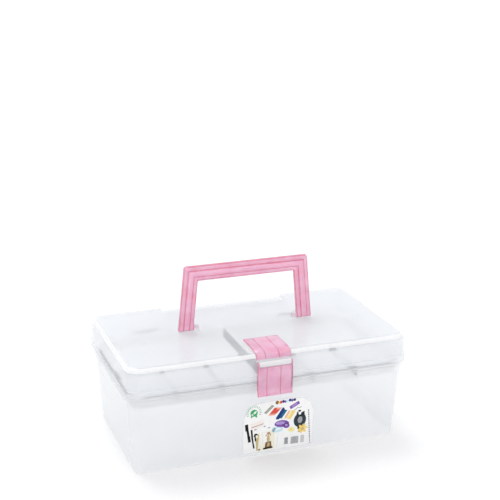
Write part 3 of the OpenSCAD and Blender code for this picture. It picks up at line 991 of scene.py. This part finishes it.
mesh = bmesh.new()
film_patch(mesh, label_outline(), 0, label_t, 0)
label = finish_mesh("label_film", mesh)
label.data.materials.append(film("white_film", (0.93, 0.93, 0.925), (0.96, 0.96, 0.955), 260.0))
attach(label, "tub")
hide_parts("front_label")


def mm_points(*pairs):
    return [(u * MM, v * MM) for u, v in pairs]


def oval(u, v, a, b, turn=0.0, steps=28):
    """An oval patch in millimetres, turned by some degrees."""
    c, s = math.cos(math.radians(turn)), math.sin(math.radians(turn))
    angles = [2 * math.pi * k / steps for k in range(steps)]
    return [((u + a * math.cos(t) * c - b * math.sin(t) * s) * MM,
             (v + a * math.cos(t) * s + b * math.sin(t) * c) * MM) for t in angles]


def bar(u0, v0, u1, v1, width):
    """A straight stroke in millimetres."""
    along = Vector((u1 - u0, v1 - v0)).normalized()
    side = Vector((-along.y, along.x)) * width / 2
    return mm_points((u0 + side.x, v0 + side.y), (u0 - side.x, v0 - side.y),
                     (u1 - side.x, v1 - side.y), (u1 + side.x, v1 + side.y))


INKS = {
    "green": ((0.05, 0.38, 0.13), (0.09, 0.46, 0.18)),
    "olive": ((0.14, 0.17, 0.07), (0.22, 0.25, 0.11)),
    "red": ((0.66, 0.06, 0.05), (0.78, 0.13, 0.10)),
    "coral": ((0.85, 0.33, 0.24), (0.90, 0.42, 0.32)),
    "navy": ((0.01, 0.03, 0.17), (0.02, 0.07, 0.26)),
    "teal": ((0.01, 0.13, 0.22), (0.03, 0.20, 0.30)),
    "peach": ((0.86, 0.50, 0.27), (0.92, 0.58, 0.36)),
    "yellow": ((0.90, 0.62, 0.15), (0.94, 0.71, 0.25)),
    "pale_yellow": ((0.90, 0.83, 0.42), (0.94, 0.88, 0.55)),
    "purple": ((0.16, 0.07, 0.34), (0.28, 0.14, 0.50)),
    "lilac": ((0.40, 0.27, 0.62), (0.52, 0.38, 0.72)),
    "sky": ((0.52, 0.76, 0.88), (0.64, 0.84, 0.93)),
    "slate": ((0.02, 0.035, 0.045), (0.05, 0.07, 0.09)),
    "black": ((0.004, 0.004, 0.004), (0.012, 0.012, 0.012)),
    "brown": ((0.16, 0.08, 0.03), (0.26, 0.14, 0.06)),
    "rose_brown": ((0.40, 0.24, 0.20), (0.52, 0.34, 0.28)),
    "sepia": ((0.52, 0.40, 0.20), (0.66, 0.54, 0.32)),
    "cream": ((0.88, 0.84, 0.66), (0.93, 0.90, 0.76)),
    "blush": ((0.92, 0.84, 0.80), (0.95, 0.89, 0.86)),
    "grey": ((0.30, 0.30, 0.33), (0.42, 0.42, 0.45)),
    "pale_grey": ((0.70, 0.71, 0.72), (0.78, 0.79, 0.80)),
    "white": ((0.95, 0.95, 0.95), (0.97, 0.97, 0.97)),
}
INK_ORDER = list(INKS)
# The drawing leans a little and is stretched upward to fill the label
PRINT_LEAN, PRINT_STRETCH = 0.03, 1.09
PRINT_MIDDLE, PRINT_DROP = 26 * MM, 0.9 * MM
print_mesh = bmesh.new()


def ink_patch(colour, outline, layer=1):
    """One printed shape. A higher layer lies over a lower one."""
    base = label_t - 0.005 * MM
    placed = [(u - PRINT_LEAN * (v - PRINT_MIDDLE), v * PRINT_STRETCH - PRINT_DROP) for u, v in outline]
    film_patch(print_mesh, placed, base, label_t + ink_t * layer, INK_ORDER.index(colour))


# Emblem: a green leaf disc in a ring of short rays
ink_patch("green", oval(10.9, 43.0, 3.9, 3.7))
ink_patch("white", oval(12.0, 43.4, 2.0, 1.0, 40), 2)
ink_patch("white", oval(9.2, 41.4, 1.1, 0.6, -30), 2)
ink_patch("green", mm_points((8.0, 40.6), (9.6, 39.2), (8.2, 38.0), (7.2, 39.4)))
ink_patch("green", mm_points((12.2, 39.4), (13.9, 40.6), (14.4, 38.6), (12.9, 37.8)))
for step in range(15):
    ray = math.radians(-20 + step * 220 / 14)
    ink_patch("green", bar(10.9 + 5.8 * math.cos(ray), 43.0 + 5.6 * math.sin(ray),
                           10.9 + 8.2 * math.cos(ray), 43.0 + 7.8 * math.sin(ray), 0.5))

# Colour cards, fanned out
ink_patch("olive", mm_points((21.6, 41.6), (29.9, 48.7), (32.4, 47.6), (23.8, 40.1)))
ink_patch("pale_grey", mm_points((22.6, 41.3), (30.4, 47.9), (30.9, 47.6), (23.1, 40.9)), 2)
ink_patch("red", mm_points((26.0, 38.0), (32.9, 45.6), (40.9, 44.6), (33.3, 37.6)))
ink_patch("coral", mm_points((26.0, 38.0), (27.4, 39.5), (35.2, 39.4), (33.3, 37.6)), 2)
ink_patch("coral", mm_points((35.6, 45.2), (40.9, 44.6), (38.9, 42.7), (34.5, 43.6)), 2)
ink_patch("navy", mm_points((34.4, 34.2), (41.7, 44.6), (43.3, 44.1), (44.0, 41.7), (38.0, 32.6),
                            (35.2, 32.4)))
ink_patch("teal", mm_points((38.6, 33.4), (43.9, 41.9), (46.7, 41.1), (40.9, 33.0)))
ink_patch("peach", mm_points((43.4, 32.9), (48.2, 40.5), (50.3, 40.0), (45.6, 32.3)))
ink_patch("yellow", mm_points((46.2, 32.2), (51.2, 40.0), (56.0, 39.3), (50.4, 30.6)))
ink_patch("pale_yellow", mm_points((47.4, 33.2), (50.8, 38.6), (52.2, 38.3), (48.8, 32.8)), 2)

# Cushion shapes in purple, sky blue and yellow
ink_patch("purple", oval(41.0, 27.4, 8.0, 3.7, -4))
ink_patch("purple", oval(45.9, 24.8, 3.8, 2.9, -20))
ink_patch("lilac", oval(39.3, 28.3, 5.2, 1.6, -4), 2)
ink_patch("lilac", oval(46.0, 25.2, 1.7, 1.1, -20), 2)
ink_patch("sky", oval(36.6, 21.6, 6.0, 2.9, 4))
ink_patch("sky", oval(32.6, 23.0, 2.2, 1.9))
ink_patch("white", oval(37.0, 22.2, 3.2, 0.9, 6), 2)
ink_patch("pale_yellow", oval(51.8, 19.6, 4.0, 2.8, -8))
ink_patch("yellow", oval(51.2, 19.5, 1.6, 0.9, 30), 2)

# A dark round bag with a white clasp, and flowers under it
ink_patch("slate", oval(60.8, 28.4, 6.8, 7.6, -6))
ink_patch("slate", mm_points((56.6, 33.2), (57.6, 38.0), (60.2, 36.0), (61.9, 36.2), (65.6, 37.6),
                             (66.0, 32.4)))
ink_patch("white", mm_points((59.0, 36.6), (62.6, 37.0), (61.6, 34.2), (59.4, 34.2)), 2)
ink_patch("grey", oval(61.0, 28.6, 2.6, 3.6, -6), 2)
ink_patch("black", oval(60.3, 38.2, 1.6, 1.0))
ink_patch("black", oval(60.2, 20.9, 2.4, 1.5, 48), 2)
for turn in range(6):
    petal = math.radians(turn * 60 + 12)
    ink_patch("yellow", oval(63.8 + 3.1 * math.cos(petal), 18.8 + 3.0 * math.sin(petal), 2.3, 1.4,
                             math.degrees(petal)), 3)
ink_patch("sepia", oval(63.8, 18.6, 1.5, 1.4), 4)
ink_patch("sepia", oval(60.6, 16.4, 1.7, 1.0, 20), 2)
ink_patch("pale_yellow", oval(66.6, 22.6, 1.7, 1.2, -20), 3)

# Row of coloured dots, a purple tag and a loose thread
DOT_ROW = [("brown", 35.6, 50.6, 1.9, 1.9), ("yellow", 37.6, 50.2, 1.0, 1.4), ("red", 39.8, 50.4, 1.5, 1.6),
           ("navy", 42.3, 50.8, 1.3, 1.6), ("purple", 44.4, 50.4, 1.1, 1.4), ("sky", 46.8, 50.6, 1.4, 1.6),
           ("navy", 49.4, 51.2, 1.4, 1.5), ("purple", 51.9, 50.8, 1.4, 1.6), ("slate", 54.5, 51.0, 1.4, 1.4)]
for colour, u, v, a, b in DOT_ROW:
    ink_patch(colour, oval(u, v, a, b))
ink_patch("purple", bar(49.6, 42.9, 59.6, 47.6, 3.5))
ink_patch("lilac", bar(51.6, 43.9, 57.4, 46.6, 1.3), 2)
thread = [(54.2, 40.4), (56.2, 40.6), (58.0, 42.2), (60.2, 41.6), (62.6, 42.6)]
for (u0, v0), (u1, v1) in zip(thread, thread[1:]):
    ink_patch("grey", bar(u0, v0, u1, v1, 0.6))

# Column of small marks at the right edge
for step in range(16):
    mark = 37.5 - step * 2.35
    colour = "purple" if step % 5 == 4 else "slate"
    ink_patch(colour, oval(70.0 + 0.18 * step, mark, 0.65, 0.8 - 0.15 * (step % 2)))

# Pen strokes, and two small framed pictures of a vase and a basket
ink_patch("black", bar(2.9, 32.0, 3.6, 25.0, 3.4))
ink_patch("black", bar(4.0, 26.0, 5.4, 18.0, 2.4))
ink_patch("black", bar(5.4, 19.0, 6.4, 12.6, 2.9))
ink_patch("black", bar(8.4, 25.6, 9.4, 15.0, 1.9))
ink_patch("black", bar(9.3, 16.0, 11.2, 5.2, 1.6))
ink_patch("blush", mm_points((6.6, 32.0), (21.4, 34.8), (21.4, 27.2), (9.0, 26.0)))
ink_patch("rose_brown", bar(8.0, 27.8, 21.2, 30.4, 0.8), 2)
ink_patch("rose_brown", oval(12.6, 25.2, 1.6, 0.6, 8), 2)
ink_patch("grey", oval(22.4, 27.2, 1.0, 0.8))
ink_patch("grey", oval(27.4, 25.2, 1.3, 0.6))
ink_patch("cream", mm_points((11.2, 20.4), (17.4, 20.8), (19.0, 2.0), (13.6, 1.6)))
ink_patch("black", oval(13.2, 18.6, 2.2, 2.4, 20), 2)
ink_patch("cream", oval(14.2, 17.6, 1.2, 1.6, 20), 3)
ink_patch("black", oval(12.7, 14.6, 0.9, 2.2, 6), 2)
ink_patch("sepia", mm_points((13.2, 13.4), (15.0, 19.2), (16.6, 19.6), (15.2, 2.4), (13.8, 2.2)), 2)
ink_patch("brown", oval(16.8, 2.9, 1.3, 0.8), 3)
ink_patch("cream", mm_points((19.6, 21.0), (33.2, 22.0), (33.4, 1.9), (20.2, 1.5)))
ink_patch("white", mm_points((20.8, 20.2), (27.4, 20.6), (24.6, 9.0), (21.2, 9.0)), 2)
ink_patch("sepia", oval(26.6, 13.2, 1.6, 4.6), 3)
ink_patch("rose_brown", oval(26.8, 19.2, 2.1, 1.3), 4)
ink_patch("sepia", oval(24.4, 17.2, 0.9, 1.2), 3)
ink_patch("sepia", oval(28.9, 17.4, 0.9, 1.2), 3)
ink_patch("brown", mm_points((23.0, 3.8), (23.6, 9.8), (29.6, 10.4), (30.4, 4.2)), 3)
ink_patch("sepia", mm_points((25.4, 5.0), (25.8, 9.0), (28.0, 9.2), (28.2, 5.2)), 4)
ink_patch("black", bar(21.2, 3.2, 31.4, 3.6, 1.7), 4)
ink_patch("pale_grey", bar(35.8, 3.0, 37.4, 17.4, 0.45))

# Three groups of even upright rules
for step in range(5):
    ink_patch("slate", bar(44.6 + step * 0.8, 4.4, 44.7 + step * 0.8, 11.6, 0.5))
for step in range(9):
    ink_patch("slate", bar(51.6 + step * 0.95, 3.8, 51.8 + step * 0.95, 11.4, 0.52))
for step in range(4):
    ink_patch("grey", bar(62.4 + step * 1.0, 3.8, 62.6 + step * 1.0, 11.6, 0.55))

label_print = finish_mesh("label_print", print_mesh, 20)
for ink_name, (dark, light) in INKS.items():
    label_print.data.materials.append(film("ink_" + ink_name, dark, light, 900.0))
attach(label_print, "tub")


# ---------------------------------------------------------------------------
# Setting: a plain white floor under an even white sky, a long thin soft box over the
# front shoulder and a broad soft sun from behind.
# ---------------------------------------------------------------------------

scene = bpy.context.scene
scene.view_settings.view_transform = "Standard"

mesh = bmesh.new()
corners = [(-40, -40, 0), (40, -40, 0), (40, 40, 0), (-40, 40, 0)]
mesh.faces.new([mesh.verts.new(Vector(c)) for c in corners])
floor = finish_mesh("floor", mesh)
paper, tree, output = new_material("white_paper")
body = tree.nodes.new("ShaderNodeBsdfPrincipled")
body.inputs["Roughness"].default_value = 0.9
fibre = noise(tree, 300.0, 3.0)
white = tint(tree, fibre.outputs["Fac"], (0.88, 0.88, 0.88), (0.90, 0.90, 0.90))
tree.links.new(white, body.inputs["Base Color"])
tree.links.new(body.outputs["BSDF"], output.inputs["Surface"])
floor.data.materials.append(paper)

world = bpy.data.worlds.new("studio")
world.use_nodes = True
world.node_tree.nodes["Background"].inputs["Color"].default_value = (0.985, 0.99, 1.0, 1)
sky = world.node_tree
rays = sky.nodes.new("ShaderNodeLightPath")
SKY_LIGHT, SKY_SEEN_EXTRA = 0.91, 0.12
glow = arithmetic(sky, "MULTIPLY_ADD", rays.outputs["Is Camera Ray"], SKY_SEEN_EXTRA, SKY_LIGHT)
sky.links.new(glow, sky.nodes["Background"].inputs["Strength"])
scene.world = world


def soft_light(name, place, aim, width, height, watts, colour=(1, 1, 1)):
    """A rectangular soft box."""
    data = bpy.data.lights.new(name, "AREA")
    data.shape = "RECTANGLE"
    data.size = width
    data.size_y = height
    data.energy = watts
    data.color = colour
    lamp = bpy.data.objects.new(name, data)
    lamp.location = place
    lamp.rotation_euler = (Vector(aim) - Vector(place)).to_track_quat("-Z", "Y").to_euler()
    scene.collection.objects.link(lamp)


soft_light("strip_softbox", (0.42, -0.52, 1.1), (0.42, -0.08, 0.1), 1.8, 0.03, 1.0)

sun = bpy.data.lights.new("back_softbox", "SUN")
sun.energy = 1.1
sun.angle = math.radians(35)
lamp = bpy.data.objects.new("back_softbox", sun)
lamp.rotation_euler = Vector((0.12, -0.46, -0.88)).to_track_quat("-Z", "Y").to_euler()
scene.collection.objects.link(lamp)

camera_place = Vector((-0.3685, -0.9741, 0.5224))
camera_forward = Vector((0.293, 0.8794, -0.3753))
camera_right = Vector((0.9484, -0.317, -0.0023))
camera_up = Vector((0.121, 0.3553, 0.9269))
data = bpy.data.cameras.new("camera")
data.sensor_width = 36.0
data.lens = 77.31
data.shift_x = 0.0892
data.shift_y = 0.173
camera = bpy.data.objects.new("camera", data)
turn = Matrix((camera_right, camera_up, -camera_forward)).transposed().to_4x4()
camera.matrix_world = Matrix.Translation(camera_place) @ turn
scene.collection.objects.link(camera)
scene.camera = camera

bpy.context.view_layer.update()
